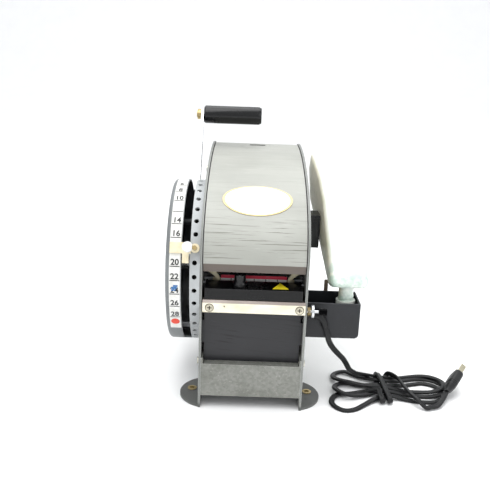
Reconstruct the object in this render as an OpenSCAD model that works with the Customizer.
// Hand-lever dispenser for water-activated carton sealing tape.
// Front faces -Y, Z is up. The origin is on the floor, at the centre of the four bolt holes in the ears.
// Most sub-parts are drawn with Y measured back from the front edge of the frame, inside bench().

/* [Frame] */
// Width over the outer faces of the two side plates
frame_w = 115; // [114:0.5:116]
// Depth of the side plates, front edge to rear edge
frame_depth = 330; // [326:1:336]
// Thickness of the side plates
plate_t = 2.5; // [2:0.5:2.5]
// Length of one bent-out ear along the side plate
ear_len = 68; // [60:1:72]
// How far an ear stands out from the side plate
ear_out = 23; // [21:1:24]
// Distance of a bolt hole from the front or rear edge
ear_hole_y = 40; // [34:1:44]
// Distance between the left and right bolt holes
ear_hole_span = 134; // [132:1:136]
// Bore of the brass eyelet in a bolt hole
ear_bore = 5.5; // [5:0.5:6]

/* [Covers] */
// Height of the shoulder where the front cover starts to curve back
shoulder_z = 172; // [170:1:174]
// Height of the top of the covers
crest_z = 268; // [266:1:270]
// Distance of the highest line of the covers from the front
crest_y = 220; // [218:1:222]
// Height of the bottom edge of the front cover's lip
lip_z = 158.5; // [157:0.5:160]
// Thickness of the cover sheet
cover_t = 1.2; // [1:0.1:1.4]
// Distance of the seam between the two covers from the front
seam_y = 212; // [208:1:214]

/* [Dial and lever] */
// Distance of the lever's axis from the front
pivot_y = 90; // [89:0.5:91]
// Height of the lever's axis
pivot_z = 146; // [145:0.5:147]
// Outer radius of the index ring and of the dial drum
dial_r = 93.2; // [92:0.1:94]
// Angle between neighbouring holes of the index ring
hole_pitch = 9.34; // [9:0.01:10]
// Diameter of the holes in the index ring
hole_d = 5.3; // [5:0.1:5.6]
// Lever swing for one inch of tape
deg_per_inch = 5; // [5:1:5]
// Distance from the lever's axis to the grip's axis
lever_len = 194; // [190:1:198]
// Angle of the resting lever above the forward horizontal
lever_rest = 124.5; // [123:0.5:126]
// Diameter of the grip
grip_d = 22.4; // [20:0.1:23]
// Length of the grip
grip_len = 73; // [70:1:75]

/* [Feed] */
// Height of the tape as it leaves the feed roller
tape_z = 127; // [126.5:0.5:127.5]
// Distance of the feed roller's axis from the front
feed_y = 92; // [91:1:93]
// Tooth module of the gears
gear_module = 1.5; // [1.5:0.5:1.5]
// Teeth on the lever gear
lever_teeth = 80; // [80:1:80]
// Teeth on the idler gear
idler_teeth = 36; // [36:1:36]
// Teeth on each pinion
pinion_teeth = 14; // [14:1:14]
// Radius of the pressure roller
press_r = 12; // [11:0.5:12]
// Half the distance between the two tape guides
guide_half = 36.6; // [36:0.2:38]

/* [Water] */
// Length of the water tank across the machine
tank_len = 164; // [160:1:166]
// Depth of the water tank, front to back
tank_depth = 42; // [40:1:44]
// Height of the water tank
tank_h = 40.5; // [38:0.5:42]
// Outside width of the bottle
bottle_w = 42; // [40:1:44]
// Outside diameter of the bottle's neck
neck_d = 16.5; // [16:0.5:17]

/* [Cord] */
// Width of the flat two-core cord
cord_d = 6.5; // [6:0.5:7]

/* [Hidden] */

// Half widths: outer faces, inner faces and the covers between them
outer_x = frame_w / 2;
inner_x = outer_x - plate_t;
cover_x = inner_x - 1;

// The plates stand this far proud of the covers
plate_proud = 1.5;
// Radius of the rear quarter of the cover outline
rear_r = frame_depth - crest_y;
rear_z = crest_z - rear_r;
front_rise = crest_z - shoulder_z;

// Shafts
pivot = [pivot_y, pivot_z];
main_shaft_d = 12;
idler_shaft_d = 8;
feed_shaft_d = 9;
press_shaft_d = 6;
rod_d = 8;
running = 0.05;

// Gear train: lever gear and first pinion, idler gear and feed pinion
lever_gear_r = gear_module * lever_teeth / 2;
idler_gear_r = gear_module * idler_teeth / 2;
pinion_r = gear_module * pinion_teeth / 2;
train_ratio = (lever_teeth / pinion_teeth) * (idler_teeth / pinion_teeth);
inch = 25.4;
// The feed roller draws one inch of tape for each step of the lever
feed_r = inch / (deg_per_inch * PI / 180 * train_ratio);
feed = [feed_y, tape_z - feed_r];
mesh_1 = lever_gear_r + pinion_r;
mesh_2 = idler_gear_r + pinion_r;
// The idler's axis is where a circle round the pivot meets a circle round the feed roller, on the rear side
pivot_to_feed = norm(feed - pivot);
feed_angle = atan2(feed[1] - pivot[1], feed[0] - pivot[0]);
idler_spread = acos((pow(mesh_1, 2) + pow(pivot_to_feed, 2) - pow(mesh_2, 2)) / (2 * mesh_1 * pivot_to_feed));
idler_angle = feed_angle + idler_spread;
idler = pivot + mesh_1 * [cos(idler_angle), sin(idler_angle)];
idler_to_feed = atan2(feed[1] - idler[1], feed[0] - idler[0]);

// Planes of the parts outside the left side plate, from the plate outwards
ring_x0 = -outer_x - 10.5;
gear_x0 = -outer_x - 8.5;
gear_x1 = -outer_x - 3.5;
disc_x0 = gear_x0 - 3;
arm_x0 = disc_x0 - 3.2;
arm_x1 = disc_x0;
drum_x1 = -outer_x - 19.5;
drum_x0 = -outer_x - 36.5;
drum_wall = 2;

// Lever directions are angles above the forward horizontal, so a point is pivot + r * [-cos, sin]
function out_from_pivot(r, a) = [pivot_y - r * cos(a), pivot_z + r * sin(a)];
grip_at = out_from_pivot(lever_len, lever_rest);
arm_w = 16;
selector_angle = 23.2;
first_hole = selector_angle + 8 * hole_pitch;
hole_count = 17;
label_line = 86;
label_count = 13;

// Roll chamber
roll_y = 215;
roll_z = 150;
roll_r = 95;
cradle_roller_r = 8;
cradle_angle = 36;
cradle_x = 45;
function cradle_roller(s) = [
    roll_y + s * (roll_r + cradle_roller_r) * sin(cradle_angle),
    roll_z - (roll_r + cradle_roller_r) * cos(cradle_angle)
];

// Rear cover hinge
hinge = [320, 50];

// Tape path parts
press = [feed_y, tape_z + press_r + 0.3];
yoke = [62, 153];
blade_y = 66;
blade_x = 42;
guide_rod = [46, 138];
heater_hinge = [25.5, 139];
heater_x = 52;
heater_rod_d = 2.9;
heater_top = [140.5, 142.8];
heater_depth = 22;
heater_slope = atan2(heater_top[1] - heater_top[0], heater_depth);

// Water tank
tank_x1 = 118;
tank_x0 = tank_x1 - tank_len;
tank_y = 20;
tank_z = 80.5;
tank_wall = 1.6;
neck = [104, 41];

// Latch pin axis
latch = [4, 117];

// Strain relief, from the plate to where the bare cord starts, with Y from the front edge
relief_route = [
    [58, 13.5, 109], [64, 13.3, 109.6], [69.5, 13, 109.4], [74.2, 12.8, 107.2], [77.4, 13, 103], [79.5, 14, 97]
];
// Route of the cord from the strain relief down into the hank, and from the hank to the plug
lead_route = [
    [79.5, -151, 97], [82, -151, 90], [84.5, -149.5, 81], [88.5, -144.5, 72], [94, -136, 62.5], [101, -125, 52],
    [109, -112, 40], [115, -103, 29], [120, -95, 19]
];
tail_route = [[205, -153, 3.4], [214, -149.5, 3.8], [222, -140, 7.2], [229, -129, 10.5]];
// Round corners of the hank, as x, y and radius
hank_corners = [[122, -46, 22], [108, -146, 20], [208, -110, 26]];
hank_h = 26;
plug_at = [229, -129, 10.5];
plug_turn = 54;
plug_tilt = 16;
plug_roll = -58;

// Shared building blocks

// Turns distances from the front edge into the part's own frame
module bench() {
    translate([0, -frame_depth / 2, 0]) children();
}

// An outline drawn as (y, z) points, made solid from x0 to x1
module slab(x0, x1) {
    translate([x0, 0, 0]) rotate([90, 0, 90]) linear_extrude(x1 - x0) children();
}

// A box between two values on each axis
module box(x0, x1, y0, y1, z0, z1) {
    translate([x0, y0, z0]) cube([x1 - x0, y1 - y0, z1 - z0]);
}

// A round bar along X, from x0 to x1, centred on the (y, z) point at
module bar(x0, x1, at, d) {
    translate([x0, at[0], at[1]]) rotate([0, 90, 0]) cylinder(h = x1 - x0, d = d, $fn = 64);
}

// A sleeve along X
module sleeve(x0, x1, at, d, bore) {
    difference() {
        bar(x0, x1, at, d);
        bar(x0 - 1, x1 + 1, at, bore);
    }
}

// Both sides of the machine at once
module both_sides() {
    children();
    mirror([1, 0, 0]) children();
}

// A ring-shaped band round the pivot, from angle a0 to a1 above the forward horizontal
module band_outline(r0, r1, a0, a1, steps) {
    polygon(concat(
        [for (i = [0 : steps]) out_from_pivot(r1, a0 + (a1 - a0) * i / steps)],
        [for (i = [steps : -1 : 0]) out_from_pivot(r0, a0 + (a1 - a0) * i / steps)]
    ));
}

// Outline of the covers at a distance inwards from their outer face: the front quarter is an
// ellipse and the rear quarter is a circle
outline_steps = 20;
function front_curve(inset, end_y) = [
    for (i = [0 : outline_steps])
        let (end_t = acos((crest_y - end_y) / crest_y), t = end_t * i / outline_steps)
        [crest_y - (crest_y - inset) * cos(t), shoulder_z + (front_rise - inset) * sin(t)]
];
function rear_curve(inset, start_y) = [
    for (i = [0 : outline_steps])
        let (start_t = acos(min(1, max(0, (start_y - crest_y) / rear_r))), t = start_t * (1 - i / outline_steps))
        [crest_y + (rear_r - inset) * cos(t), rear_z + (rear_r - inset) * sin(t)]
];
function after_first(list) = [for (i = [1 : len(list) - 1]) list[i]];
function reversed(list) = [for (i = [len(list) - 1 : -1 : 0]) list[i]];

// Involute gear teeth
pressure_angle = 20;
tooth_relief = 0.14;
function involute(a) = tan(a) * 180 / PI - a;
function flank_angle(r, base_r) = involute(acos(min(1, base_r / r)));
// Points of one flank, given as [radius, half angle of the tooth there]
function flank(teeth, addendum) =
    let (
        pitch_r = gear_module * teeth / 2,
        base_r = pitch_r * cos(pressure_angle),
        half = 90 / teeth - tooth_relief / pitch_r * 180 / PI,
        at_pitch = flank_angle(pitch_r, base_r),
        radii = [
            pitch_r - 1.2 * gear_module, max(base_r, pitch_r - 0.8 * gear_module),
            pitch_r, pitch_r + addendum * gear_module
        ]
    )
    [for (r = radii) [r, half + at_pitch - flank_angle(max(r, base_r), base_r)]];
function gear_points(teeth, addendum) =
    let (side = flank(teeth, addendum))
    [
        for (tooth = [0 : teeth - 1], p = concat(
            [for (f = side) [f[0], -f[1]]], [for (f = reversed(side)) f]
        ))
            p[0] * [cos(360 * tooth / teeth + p[1]), sin(360 * tooth / teeth + p[1])]
    ];

// A spur gear along X whose tooth or gap points along an angle measured from +Y towards +Z
module gear(x0, x1, at, teeth, angle, on_tooth, addendum) {
    slab(x0, x1) translate(at) rotate(angle + (on_tooth ? 0 : 180 / teeth)) polygon(gear_points(teeth, addendum));
}

// Frame

// Outline of a side plate, proud of the covers
module side_outline() {
    polygon(concat(
        [[0, 0], [0, shoulder_z - 10]],
        front_curve(-plate_proud, crest_y),
        after_first(rear_curve(-plate_proud, crest_y)),
        [[frame_depth, rear_z - 6], [frame_depth, 0]]
    ));
}

// One ear bent out at the foot of the left side plate, at the front: a wide round tongue whose
// far side just reaches the ear's width
module ear() {
    root = 1;
    half_len = ear_len / 2 - root;
    tongue_r = (pow(half_len, 2) + pow(ear_out, 2)) / (2 * ear_out);
    translate([-outer_x, ear_len / 2, 0]) intersection() {
        translate([tongue_r - ear_out, 0, 0]) cylinder(h = plate_t, r = tongue_r, $fn = 96);
        translate([-ear_out - 1, -ear_len, 0]) cube([ear_out + 1 + root, 2 * ear_len, plate_t]);
    }
}

module ear_pair() {
    bench() {
        ear();
        translate([0, frame_depth, 0]) mirror([0, 1, 0]) ear();
    }
}

// Bolt hole positions on the left
module at_ear_holes() {
    bench() for (y = [ear_hole_y, frame_depth - ear_hole_y]) translate([-ear_hole_span / 2, y, 0]) children();
}

eyelet_barrel = 7.5;

// The plain left plate with its ears, before the holes that differ from side to side
module plate_blank() {
    difference() {
        union() {
            bench() slab(-outer_x, -inner_x) side_outline();
            ear_pair();
        }
        at_ear_holes() translate([0, 0, -1]) cylinder(h = plate_t + 2, d = eyelet_barrel, $fn = 48);
        bench() plate_rod_holes();
    }
}

// Holes that both plates have, for the cross rods, the feed shaft and the side screws
module plate_rod_holes() {
    for (at = rod_centres) bar(-outer_x - 1, -inner_x + 1, at, rod_d);
    bar(-outer_x - 1, -inner_x + 1, heater_hinge, heater_rod_d);
    bar(-outer_x - 1, -inner_x + 1, feed, feed_shaft_d + 4);
    for (at = screw_centres) bar(-outer_x - 1, -inner_x + 1, at, 4);
}

// Cross rods: yoke pivot, guide rod, cover hinge and two tie rods
rod_centres = [yoke, guide_rod, hinge, [150, 36], [285, 36]];
// Tabs that hold the front cover
cover_tabs = [[118, 249], [190, 256]];
// Side screws: front cross plate, rear cross plate and the front cover's tabs
screw_centres = concat([[12, 52], [318, 110]], cover_tabs);

module left_side_plate() {
    color("#9a9c9a") difference() {
        plate_blank();
        bench() {
            bar(-outer_x - 1, -inner_x + 1, pivot, main_shaft_d);
            bar(-outer_x - 1, -inner_x + 1, idler, idler_shaft_d + 4);
        }
    }
}

module right_side_plate() {
    color("#9a9c9a") difference() {
        mirror([1, 0, 0]) plate_blank();
        bench() {
            box(inner_x - 1, outer_x + 1, tank_y - 0.5, tank_y + tank_depth + 0.5, tank_z, tank_z + tank_h + 0.5);
            bar(inner_x - 1, outer_x + 1, latch, 3.3);
            bar(inner_x - 1, outer_x + 1, cord_exit, 9);
        }
    }
}

// Where the cord leaves the right side plate
cord_exit = [13.5, 109];

module ear_eyelets() {
    color("#b08d57") both_sides() at_ear_holes() difference() {
        union() {
            cylinder(h = plate_t, d = eyelet_barrel, $fn = 48);
            translate([0, 0, plate_t]) cylinder(h = 0.8, d = 10.5, $fn = 48);
        }
        translate([0, 0, -1]) cylinder(h = plate_t + 3, d = ear_bore, $fn = 48);
    }
}

// Channel plate with a top flange and side tabs
module channel_plate(top) {
    side = inner_x;
    box(-side, side, 0.5, 2.5, 15, top);
    box(-side + 3, side - 3, 0.5, 11, top - 2, top);
    both_sides() difference() {
        box(side - 2, side, 0.5, 24, 15, 60);
        bar(side - 3, side + 1, [12, 52], 4);
    }
}

module front_cross_plate() {
    color("#a3a59f") bench() channel_plate(53);
}

module rear_cross_plate() {
    side = inner_x;
    color("#a3a59f") bench() {
        box(-side, side, 325, 327, 78, 120);
        both_sides() difference() {
            box(side - 2, side, 304, 327, 78, 120);
            bar(side - 3, side + 1, [318, 110], 4);
        }
    }
}

module cross_rods() {
    color("#b9bcbe") bench() {
        for (at = rod_centres) bar(-outer_x - 1.5, outer_x + 1.5, at, rod_d);
        bar(-outer_x - 1, outer_x + 1, heater_hinge, heater_rod_d);
    }
}

module front_panel() {
    color("#2b2c30") bench() difference() {
        union() {
            box(-52.5, 52.5, 11.2, 12.8, 53.2, 113);
            box(-52.5, 52.5, 0, 12.8, 113, 114.6);
            box(-52.5, 52.5, 0, 1.4, 113, 125);
            both_sides() box(52.4, inner_x, 11.2, 19, 74, 100);
        }
        at_bar_screws() cylinder(h = 8, d = 3.6, $fn = 32);
    }
}

bar_screw_span = 96;
module at_bar_screws() {
    for (s = [-1, 1]) translate([s * bar_screw_span / 2 + 1.5, -2.6, 119.9]) rotate([-90, 0, 0]) children();
}

module front_bar() {
    color("#d6d2bf") bench() difference() {
        union() {
            slab(-54, 55.5) polygon([[-2.6, 114.8], [-2.6, 125.6], [-0.6, 128.2], [0, 128.2], [0, 114.8]]);
            box(-54, 54, -0.1, 8, 126.6, 128.2);
        }
        at_bar_screws() cylinder(h = 8, d = 4.4, $fn = 32);
        at_bar_screws() cylinder(h = 2.6, d1 = 9.6, d2 = 4.4, $fn = 48);
        translate([-30.7, -4, 121.8]) rotate([-90, 0, 0]) cylinder(h = 5, d = 1.6, $fn = 24);
    }
}

module bar_screws() {
    color("#e2ded0") bench() at_bar_screws() difference() {
        union() {
            translate([0, 0, -0.5]) cylinder(h = 0.5, d1 = 8.6, d2 = 9.4, $fn = 48);
            cylinder(h = 2.4, d1 = 9.4, d2 = 4.2, $fn = 48);
            cylinder(h = 4.6, d = 3.6, $fn = 32);
        }
        for (turn = [0, 90]) rotate(turn) translate([-2.4, -0.5, -1]) cube([4.8, 1, 1.9]);
    }
}

module side_screws() {
    color("#cfc8b8") bench() both_sides() for (at = screw_centres) difference() {
        union() {
            bar(-outer_x - 2, -outer_x, at, 7.5);
            bar(-outer_x, -inner_x + 2.2, at, 3.98);
        }
        box(-outer_x - 3, -outer_x - 1.2, at[0] - 2.8, at[0] + 2.8, at[1] - 0.5, at[1] + 0.5);
    }
}

// Water supply

module water_tank() {
    corner = 5;
    module shell(inset) {
        hull() for (y = [tank_y + inset, tank_y + tank_depth - inset - 1]) translate([0, y, 0]) {
            box(tank_x0 + inset, tank_x1 - inset, 0, 1, tank_z + tank_h - 1, tank_z + tank_h);
            translate([tank_x1 - corner, 0, tank_z + corner]) rotate([-90, 0, 0])
                cylinder(h = 1, r = corner - inset, $fn = 32);
            box(tank_x0 + inset, tank_x0 + inset + 1, 0, 1, tank_z + inset, tank_z + inset + 1);
        }
    }
    color("#26272a") bench() difference() {
        shell(0);
        translate([0, 0, 1]) shell(tank_wall);
    }
}

brush_x = 44;
module brush_holder() {
    color("#5a5c5e") bench() difference() {
        box(-brush_x, brush_x, 23, 40, tank_z + 2.6, 104);
        box(-brush_x + 2, brush_x - 2, 25, 38, 96, 105);
    }
}

module brush() {
    color("#1f1f22") bench() box(-brush_x + 2.2, brush_x - 2.2, 25.2, 37.8, 96.2, tank_z + tank_h + 4.5);
}

// Centres of the ends of the bottle's rounded body, in (y, z), before the side-to-side lean
bottle_corner_r = 7;
bottle_corners = [
    [29, 144], [41, 140], [67, 148], [165, 181], [221, 199], [246, 234], [237, 250], [222, 245.5],
    [161, 233], [116, 212.5], [82, 186.5], [54, 160]
];

module bottle_body(r, w) {
    hull() for (c = bottle_corners) translate([neck[0] - lean_x(c[0]), c[0], c[1]]) {
        for (s = [-1, 1]) translate([s * (w / 2 - r), 0, 0]) sphere(r = r, $fn = 24);
    }
}

// The body drifts towards the machine as it rises to the rear
function lean_x(y) = (y - neck[1]) * 0.045;

module bottle() {
    bottle_wall = 1.4;
    color("#dfe8dd") bench() difference() {
        union() {
            bottle_body(bottle_corner_r, bottle_w);
            translate([neck[0], neck[1], tank_z + tank_h - 10]) cylinder(h = 25, d = neck_d, $fn = 48);
        }
        bottle_body(bottle_corner_r - bottle_wall, bottle_w - 2 * bottle_wall);
        translate([neck[0], neck[1], tank_z + tank_h - 11]) cylinder(h = 30, d = neck_d - 3, $fn = 48);
    }
}

module bottle_cap() {
    color("#e9eae4") bench() translate([neck[0], neck[1], tank_z + tank_h - 13]) difference() {
        cylinder(h = 11, d = neck_d + 5, $fn = 48);
        translate([0, 0, 3]) cylinder(h = 12, d = neck_d, $fn = 48);
        translate([0, 0, -1]) cylinder(h = 6, d = 5, $fn = 32);
    }
}

module bottle_bracket() {
    color("#1c1d1f") bench() box(outer_x, 78, 112, 140, 158, 198);
}

module bottle_post() {
    color("#6e5f52") bench() box(81.8, 86.2, tank_y + tank_depth, tank_y + tank_depth + 1.8, 90, 134);
}

// Tape path

module heater_plate() {
    sheet = 2;
    color("#232428") bench() difference() {
        union() {
            slab(-heater_x, heater_x) polygon([
                [0, 129], [0, heater_top[0]], [heater_depth, heater_top[1]],
                [heater_depth, heater_top[1] - sheet], [sheet, heater_top[0] - sheet], [sheet, 129]
            ]);
            both_sides() slab(heater_x - 2, heater_x) hull() {
                polygon([[0, 131], [0, 140.5], [20, 142.5], [20, 134]]);
                translate(heater_hinge) circle(r = 3.5, $fn = 32);
            }
        }
        bar(-heater_x - 1, heater_x + 1, heater_hinge, heater_rod_d + 2 * running);
    }
}

// A place on the sloping top of the heater plate
module on_heater(x, y) {
    translate([x, y, heater_top[0] + y * tan(heater_slope)]) rotate([heater_slope, 0, 0]) children();
}

module lift_knob() {
    color("#1b1c1f") bench() on_heater(-15, 12) {
        cylinder(h = 2.6, d = 17.5, $fn = 48);
        translate([0, 0, 2.6]) cylinder(h = 2, d1 = 15.5, d2 = 12.5, $fn = 48);
        translate([0, 0, 4.6]) cylinder(h = 8.2, d = 12.5, $fn = 48);
        translate([0, 0, 12.8]) cylinder(h = 1.6, d1 = 12.5, d2 = 9, $fn = 48);
    }
}

module hot_surface_label() {
    color("#f2e21b") bench() on_heater(28.5, 4) linear_extrude(0.3) polygon([[-8.7, 0], [8.7, 0], [0, 15]]);
}

module tape_bridge() {
    color("#202124") bench() difference() {
        union() {
            box(-34, 34, 30.2, 32.6, 137.5, 147.5);
            both_sides() box(34, inner_x, 30.2, 32.6, 143.5, 147.5);
        }
        for (x = [-30, 30]) translate([x, 34, 142]) rotate([90, 0, 0]) cylinder(h = 5, d = 3, $fn = 24);
    }
}

module tape_rule() {
    color("#d8d3cf") bench() box(-36.2, 36.2, 29.6, 30.2, 139.6, 146.6);
}

// One tape guide with its flared nose, drawn for the left side with its inner face at x = 0
module guide() {
    guide_t = 1.8;
    difference() {
        union() {
            slab(-guide_t, 0) polygon([
                [27.1, 127.8], [27.1, 134.5], [33.5, 136], [33.5, 147], [60, 147], [60, 127.8]
            ]);
            translate([0, 29.3, 0]) rotate([90, 0, 0]) linear_extrude(2.2) polygon([
                [-guide_t, 130], [-guide_t, 140], [-7, 146.4], [-13, 150.6], [-6, 152.3], [-1.5, 146], [0, 141], [0, 130]
            ]);
            bar(-9, 0, guide_rod, rod_d + 4);
        }
        bar(-20, 5, guide_rod, rod_d + 2 * running);
    }
}

module left_guide() {
    color("#e9dfc3") bench() translate([-guide_half, 0, 0]) guide();
}

module right_guide() {
    color("#e9dfc3") bench() mirror([1, 0, 0]) translate([-guide_half, 0, 0]) guide();
}

// Feed gear, rollers and shafts

module feed_shaft() {
    color("#b4b7ba") bench() bar(-outer_x - 1.5, outer_x + 1.5, feed, feed_shaft_d);
}

module feed_roller() {
    color("#4a3f38") bench() difference() {
        union() {
            bar(-41, 41, feed, 2 * feed_r);
            gear(-inner_x + 2, -inner_x + 9, feed, pinion_teeth, idler_to_feed + 180, false, 0.8);
            bar(-inner_x + 9, -41, feed, 16);
        }
        bar(-inner_x, inner_x, feed, feed_shaft_d);
    }
}

module idler_shaft() {
    color("#b4b7ba") bench() bar(gear_x0 + 0.4, -inner_x + 11, idler, idler_shaft_d);
}

module idler_gears() {
    color("#c2a878") bench() difference() {
        union() {
            gear(gear_x0 + 0.5, gear_x1 - 0.5, idler, pinion_teeth, idler_angle + 180, false, 0.8);
            gear(-inner_x + 2.5, -inner_x + 8.5, idler, idler_teeth, idler_to_feed, true, 0.8);
        }
        bar(gear_x0 - 1, -inner_x + 12, idler, idler_shaft_d);
    }
}

module shaft_bushes() {
    color("#b08d57") bench() {
        for (s = [-1, 1]) scale([s, 1, 1]) {
            sleeve(inner_x - 1, outer_x, feed, feed_shaft_d + 4, feed_shaft_d + 2 * running);
        }
        sleeve(-outer_x, -inner_x + 1, idler, idler_shaft_d + 4, idler_shaft_d + 2 * running);
    }
}

module pressure_roller() {
    color("#35332f") bench() {
        bar(-40, 40, press, 2 * press_r);
        bar(-48, 48, press, press_shaft_d);
    }
}

yoke_arm_x = 45;
module pressure_yoke() {
    arm_t = 2;
    color("#8f9294") bench() difference() {
        union() {
            both_sides() slab(yoke_arm_x, yoke_arm_x + arm_t) {
                hull() {
                    translate(yoke) circle(r = 8, $fn = 48);
                    translate(press) circle(r = 6, $fn = 48);
                }
                polygon([[66, 150], [66, 161], [80, 161], [80, 147]]);
            }
            box(-yoke_arm_x - 1, yoke_arm_x + 1, 66, 80, 159, 161);
        }
        bar(-60, 60, yoke, rod_d + 2 * running);
        bar(-60, 60, press, press_shaft_d + 2 * running);
    }
}

// Cutter

module fixed_blade() {
    color("#c9ccce") bench() box(-inner_x, inner_x, blade_y - 1.6, blade_y, 118, tape_z - 0.6);
}

module cutter_blade() {
    color("#d5d8da") bench() difference() {
        slab(-blade_x, blade_x) polygon([
            [blade_y + 0.1, 128], [blade_y + 0.1, 141], [blade_y + 2.1, 141], [blade_y + 2.1, 130]
        ]);
        for (x = [-25, 25]) translate([x, blade_y - 1, 136]) rotate([-90, 0, 0]) cylinder(h = 5, d = 4, $fn = 24);
    }
}

module cutter_guides() {
    color("#77797c") bench() both_sides() difference() {
        box(blade_x - 3, inner_x, blade_y - 1.6, blade_y + 4, 127.4, 138);
        box(blade_x - 4, blade_x + 0.05, blade_y, blade_y + 2.2, 120, 150);
    }
}

// Dial, selector and lever

module index_ring() {
    color("#9a9c9a") bench() difference() {
        union() {
            slab(ring_x0, -outer_x) difference() {
                translate(pivot) circle(r = dial_r, $fn = 128);
                translate(pivot) circle(r = dial_r - drum_wall, $fn = 128);
            }
            slab(-outer_x - 1.6, -outer_x) difference() {
                translate(pivot) circle(r = dial_r - 1, $fn = 128);
                translate(pivot) circle(r = dial_r - 7, $fn = 128);
            }
        }
        for (i = [0 : hole_count - 1]) ring_hole(first_hole - hole_pitch * i);
    }
}

ring_hole_x = -outer_x - 5.5;
module ring_hole(a) {
    at = out_from_pivot(dial_r - 6, a);
    translate([ring_hole_x, at[0], at[1]]) rotate([90 - a, 0, 0]) cylinder(h = 9, d = hole_d, $fn = 32);
}

// Angles between which the lever's slot is open, and the rounding of the drum's outer edge
slot_start = -66;
slot_end = 130;
drum_edge = 4;

// Points of a quarter arc in the drum's section, from its flat face to its rim
function edge_arc(r, d, corner) = [
    for (a = [90 : -15 : 0]) [r - drum_edge + corner * cos(a), d - drum_edge + corner * sin(a)]
];

module dial_drum() {
    depth = ring_x0 - drum_x0;
    color("#9a9c9a") bench() difference() {
        translate([ring_x0, pivot_y, pivot_z]) rotate([0, -90, 0]) rotate_extrude($fn = 128) polygon(concat(
            [[0, depth]], edge_arc(dial_r, depth, drum_edge), [[dial_r, 0], [dial_r - drum_wall, 0]],
            reversed(edge_arc(dial_r, depth, drum_edge - drum_wall)), [[0, depth - drum_wall]]
        ));
        slab(drum_x1, ring_x0 + 1) band_outline(dial_r - 20, dial_r + 10, slot_start, slot_end, 20);
        bar(drum_x0 - 1, drum_x0 + drum_wall + 1, pivot, main_shaft_d);
        for (a = post_angles) bar(drum_x0 - 1, drum_x0 + drum_wall + 1, out_from_pivot(post_r, a), 4);
    }
}

post_angles = [160, 205, 285];
post_r = 79;
module drum_posts() {
    color("#8d9093") bench() for (a = post_angles) {
        at = out_from_pivot(post_r, a);
        bar(drum_x0 + drum_wall, -outer_x, at, 8.6);
        bar(drum_x0 - 1.6, drum_x0 + drum_wall, at, 4);
        bar(drum_x0 - 2.6, drum_x0, at, 7.5);
    }
}

module dial_scale() {
    color("#e8e8e4") bench() slab(drum_x0 + 4.5, drum_x1 - 0.8)
        band_outline(dial_r + 0.06, dial_r + 0.4, label_line - hole_pitch * label_count - 3, label_line + 6, 40);
}

// The selector bridges both bands; its pin lines up with one hole of the index ring
module selector_plate() {
    r = dial_r + 0.7;
    color("#e6e0cf") bench() difference() {
        union() {
            slab(drum_x0 + 4.6, knob_x + 3) band_outline(r, r + 1.6, selector_angle - 3.5, selector_angle + 3.5, 8);
            intersection() {
                slab(knob_x, ring_hole_x + 5) band_outline(r, r + 1.6, selector_angle - 3.5, selector_angle + 3.5, 8);
                selector_bore(ring_hole_x, 9.8);
            }
            slab(drum_x1 + 1, ring_x0 - 1.2) band_outline(r, r + 1.6, selector_angle - 8.6, selector_angle - 3.4, 4);
            slab(drum_x1 + 1, ring_x0 - 1.2) band_outline(dial_r - 5, r + 1.6, selector_angle - 9.6, selector_angle - 8.5, 2);
        }
        selector_bore(ring_hole_x, 4.9);
        selector_bore(knob_x, 4.3);
    }
}

// Radial holes through the selector
knob_x = ring_x0 - 2.2;
module selector_bore(x, d) {
    at = out_from_pivot(dial_r - 6, selector_angle);
    translate([x, at[0], at[1]]) rotate([90 - selector_angle, 0, 0]) cylinder(h = 20, d = d, $fn = 32);
}

// Pull pin with its ball knob, drawn lifted clear of the ring
module selector_pin() {
    at = out_from_pivot(dial_r, selector_angle);
    lift = 3;
    color("#eef0f0") bench() {
        translate([knob_x, at[0], at[1]]) rotate([90 - selector_angle, 0, 0]) {
            translate([0, 0, 1.5]) cylinder(h = 4 + lift, d = 4, $fn = 32);
            translate([0, 0, 8.2 + lift]) sphere(d = 11.4, $fn = 48);
        }
        translate([ring_hole_x, at[0], at[1]]) rotate([90 - selector_angle, 0, 0])
            translate([0, 0, 0.4]) cylinder(h = 4.2 + lift, d = 4.6, $fn = 32);
        translate([0, at[0], at[1]]) rotate([90 - selector_angle, 0, 0])
            box(knob_x, ring_hole_x, -1.7, 1.7, 2.6 + lift, 3.8 + lift);
    }
}

module main_shaft() {
    color("#b4b7ba") bench() {
        bar(drum_x0 - 3, -inner_x + 1, pivot, main_shaft_d);
        bar(-inner_x, -inner_x + 5, pivot, 20);
        bar(drum_x0 - 8, drum_x0, pivot, 19);
    }
}

hub_bore = main_shaft_d + 2 * running;
module lever_gear() {
    color("#2e2f32") bench() difference() {
        union() {
            gear(gear_x0, gear_x1, pivot, lever_teeth, idler_angle, true, 0.8);
            bar(gear_x1, -outer_x - 0.6, pivot, 30);
        }
        bar(drum_x0, 0, pivot, hub_bore);
        for (a = [30 : 60 : 330]) bar(gear_x0 - 1, gear_x1 + 1, out_from_pivot(40, a), 16);
    }
}

module lever_disc() {
    color("#1d1e20") bench() difference() {
        bar(disc_x0, gear_x0, pivot, 146);
        bar(drum_x0, 0, pivot, hub_bore);
    }
}

module lever_arm() {
    color("#c8cacb") bench() difference() {
        union() {
            slab(arm_x0, arm_x1) hull() for (at = [grip_at, pivot]) translate(at) circle(d = arm_w, $fn = 48);
            bar(arm_x0, arm_x1, pivot, arm_w + 14);
            bar(drum_x0 + drum_wall + 0.6, arm_x0, pivot, 26);
        }
        bar(drum_x0, 0, pivot, hub_bore);
        bar(arm_x0 - 1, arm_x1 + 1, grip_at, 8);
    }
}

grip_x0 = arm_x1 + 0.4;
module grip_bolt() {
    color("#cdbb8e") bench() {
        bar(arm_x0 - 6, grip_x0 + grip_len - 6, grip_at, 8);
        bar(arm_x0 - 5, arm_x0, grip_at, 13);
    }
}

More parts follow.
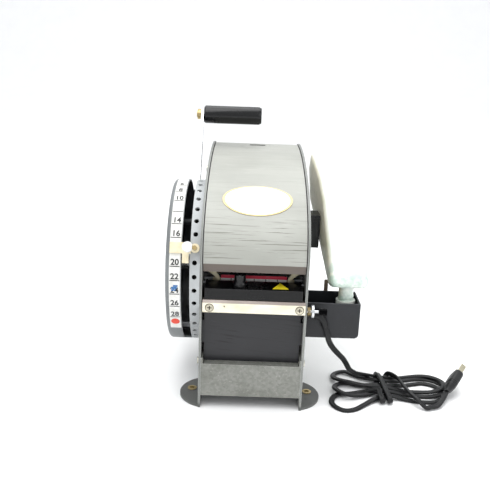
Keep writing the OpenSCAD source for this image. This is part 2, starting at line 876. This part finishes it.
module grip() {
    rounding = 1.6;
    color("#121214") bench() difference() {
        translate([grip_x0, grip_at[0], grip_at[1]]) rotate([0, 90, 0]) rotate_extrude($fn = 64) polygon([
            [0, 0], [grip_d / 2 - rounding, 0], [grip_d / 2, rounding],
            [grip_d / 2, grip_len - 2 * rounding], [grip_d / 2 - rounding, grip_len], [0, grip_len]
        ]);
        bar(grip_x0 - 1, grip_x0 + grip_len - 5, grip_at, 8 + 2 * running);
    }
}

// Covers

// Finger notch across the seam of the two covers
notch_w = 20;
module front_cover() {
    lip_in = 3;
    outer = concat([[lip_in, lip_z], [0, lip_z + 10]], front_curve(0, seam_y));
    inner = concat([[lip_in + cover_t, lip_z], [cover_t, lip_z + 10]], front_curve(cover_t, seam_y));
    color("#a8aaa6") bench() {
        difference() {
            slab(-cover_x, cover_x) polygon(concat(outer, reversed(inner)));
            box(-notch_w / 2 + 1, notch_w / 2 + 1, seam_y - 7, seam_y + 1, crest_z - 5, crest_z + 5);
        }
        both_sides() for (at = cover_tabs) difference() {
            slab(cover_x - 1.4, cover_x) tab_outline(at);
            bar(cover_x - 3, cover_x + 1, at, 4);
        }
    }
}

// A tab that hangs inside the front cover round a side screw
module tab_outline(at) {
    intersection() {
        translate(at) square([20, 24], center = true);
        polygon(concat([[0, 150]], front_curve(cover_t / 2, seam_y), [[seam_y, 150]]));
    }
}

module rear_cover() {
    outer = concat(rear_curve(0, seam_y + 0.6), [[frame_depth, rear_z], [frame_depth, hinge[1] - 8]]);
    inner = concat(rear_curve(cover_t, seam_y + 0.6), [[frame_depth - cover_t, rear_z], [frame_depth - cover_t, hinge[1] - 8]]);
    color("#a8aaa6") bench() difference() {
        union() {
            slab(-cover_x, cover_x) polygon(concat(seam_edge(0), outer, reversed(inner), seam_edge(cover_t)));
            both_sides() slab(cover_x - 1.6, cover_x) hull() {
                translate(hinge) circle(r = 8, $fn = 32);
                translate([frame_depth - cover_t - 0.6, hinge[1] - 8]) square([0.6, 30]);
            }
        }
        box(-notch_w / 2 + 1, notch_w / 2 + 1, seam_y - 1, seam_y + 3, crest_z - 5, crest_z + 5);
        bar(-60, 60, hinge, rod_d + 2 * running);
    }
}

// The short piece of cover between the seam and the crest
function seam_edge(inset) = inset == 0
    ? [[seam_y + 0.6, shoulder_z + front_rise * sin(acos((crest_y - seam_y - 0.6) / crest_y))]]
    : [[seam_y + 0.6, shoulder_z + front_rise * sin(acos((crest_y - seam_y - 0.6) / crest_y)) - inset]];

// The badge is a thin oval plate bent to the curve of the cover
badge_size = [38, 23.4];
badge_at = [43, 228];
badge_tilt = 31;
module cover_badge() {
    color("#f1f0ea") bench() intersection() {
        slab(-cover_x, cover_x) polygon(concat(front_curve(-0.8, seam_y), reversed(front_curve(0, seam_y))));
        translate([1, badge_at[0], badge_at[1]]) rotate([badge_tilt, 0, 0]) translate([0, 0, -30]) linear_extrude(60)
            polygon([for (a = [0 : 6 : 354]) [badge_size[0] * cos(a), badge_size[1] * sin(a)]]);
    }
}

// Roll cradle with its two support rollers

module roll_cradle() {
    front_at = cradle_roller(-1);
    rear_at = cradle_roller(1);
    color("#8d908f") bench() difference() {
        union() {
            box(-cradle_x, cradle_x, 140, 295, 40, 42);
            both_sides() slab(cradle_x - 1.6, cradle_x) polygon([
                [140, 40], [front_at[0] - 12, front_at[1] + 10], [front_at[0] + 12, front_at[1] + 10],
                [roll_y, 52], [rear_at[0] - 12, rear_at[1] + 10], [rear_at[0] + 12, rear_at[1] + 10], [295, 40]
            ]);
        }
        for (s = [-1, 1]) bar(-60, 60, cradle_roller(s), 5 + 2 * running);
    }
}

module support_roller(s) {
    color("#c6c9cb") bench() {
        bar(-cradle_x + 2, cradle_x - 2, cradle_roller(s), 2 * cradle_roller_r);
        bar(-cradle_x - 2, cradle_x + 2, cradle_roller(s), 5);
    }
}

module front_support_roller() {
    support_roller(-1);
}

module rear_support_roller() {
    support_roller(1);
}

// Spring latch at the right end of the front bar

module latch_pin() {
    color("#d9d6cb") bench() {
        bar(46, 71.5, latch, 3.2);
        bar(62.6, 65.2, latch, 14);
        bar(71, 79, latch, 7.8);
    }
}

// A coil swept as one tube of round rings along a path
function tube_frame(path, i) =
    let (
        a = path[max(0, i - 1)],
        b = path[min(len(path) - 1, i + 1)],
        forward = (b - a) / norm(b - a),
        side = cross(forward, [0.11, 0.07, 1]),
        right = side / norm(side)
    )
    [right, cross(right, forward)];
function ring(path, i, r, sides) =
    let (f = tube_frame(path, i))
    [for (k = [0 : sides - 1]) path[i] + r * (cos(360 * k / sides) * f[0] + sin(360 * k / sides) * f[1])];

// A tube along a path whose radius goes evenly from r0 to r1
module tube(path, r0, r1, sides) {
    last = len(path) - 1;
    points = [for (i = [0 : last], p = ring(path, i, r0 + (r1 - r0) * i / last, sides)) p];
    walls = [
        for (i = [0 : last - 1], k = [0 : sides - 1])
            let (a = i * sides + k, b = i * sides + (k + 1) % sides)
            each [[a, b, b + sides], [a, b + sides, a + sides]]
    ];
    start_cap = [for (k = [sides - 1 : -1 : 0]) k];
    end_cap = [for (k = [0 : sides - 1]) last * sides + k];
    polyhedron(points = points, faces = concat(walls, [start_cap, end_cap]), convexity = 10);
}

module latch_spring() {
    turns = 3;
    steps = 14;
    coil_r = 4.6;
    color("#c9b078") bench() tube([
        for (i = [0 : turns * steps])
            let (a = 360 * i / steps, x = outer_x + 0.7 + 3.7 * i / (turns * steps))
            [x, latch[0] + coil_r * cos(a), latch[1] + coil_r * sin(a)]
    ], 0.45, 0.45, 6);
}

// Mains cord

module strain_relief() {
    color("#2c3030") bench() {
        bar(inner_x - 2, outer_x + 2, cord_exit, 9);
        bar(outer_x, outer_x + 2, cord_exit, 12);
        tube(relief_route, 4.4, cord_d / 2 + 0.5, 16);
    }
}

module power_cord() {
    color("#2e3033") {
        tube(lead_route, cord_d / 2, cord_d / 2, 10);
        tube(tail_route, cord_d / 2, cord_d / 2, 10);
    }
}

// The folded and wrapped length, as one low block with round ends
module cord_hank() {
    color("#2e3033") difference() {
        linear_extrude(hank_h) hull() for (c = hank_corners) translate([c[0], c[1]]) circle(r = c[2], $fn = 32);
        translate([plug_at[0], plug_at[1], 0]) rotate(plug_turn) box(-12, 60, -60, 13, -1, hank_h + 1);
    }
}

module cord_plug() {
    color("#26282b") translate(plug_at) rotate([plug_roll, -plug_tilt, plug_turn]) {
        rotate([0, 90, 0]) cylinder(h = 5, d1 = 9, d2 = 11, $fn = 32);
        box(5, 33, -11, 11, -6, 6);
        for (s = [-1, 1]) translate([0, s * 6.3, 0]) box(33, 49, -0.8, 0.8, -3.1, 3.1);
    }
}

left_side_plate();
right_side_plate();
ear_eyelets();
front_cross_plate();
rear_cross_plate();
cross_rods();
front_panel();
front_bar();
bar_screws();
side_screws();
water_tank();
brush_holder();
brush();
bottle();
bottle_cap();
bottle_bracket();
bottle_post();
heater_plate();
lift_knob();
hot_surface_label();
tape_rule();
tape_bridge();
left_guide();
right_guide();
index_ring();
dial_drum();
dial_scale();
drum_posts();
selector_plate();
selector_pin();
main_shaft();
lever_arm();
lever_disc();
lever_gear();
grip_bolt();
grip();
idler_gears();
idler_shaft();
feed_roller();
feed_shaft();
shaft_bushes();
pressure_roller();
pressure_yoke();
cutter_guides();
fixed_blade();
cutter_blade();
front_cover();
rear_cover();
cover_badge();
roll_cradle();
front_support_roller();
rear_support_roller();
latch_pin();
latch_spring();
strain_relief();
power_cord();
cord_hank();
cord_plug();
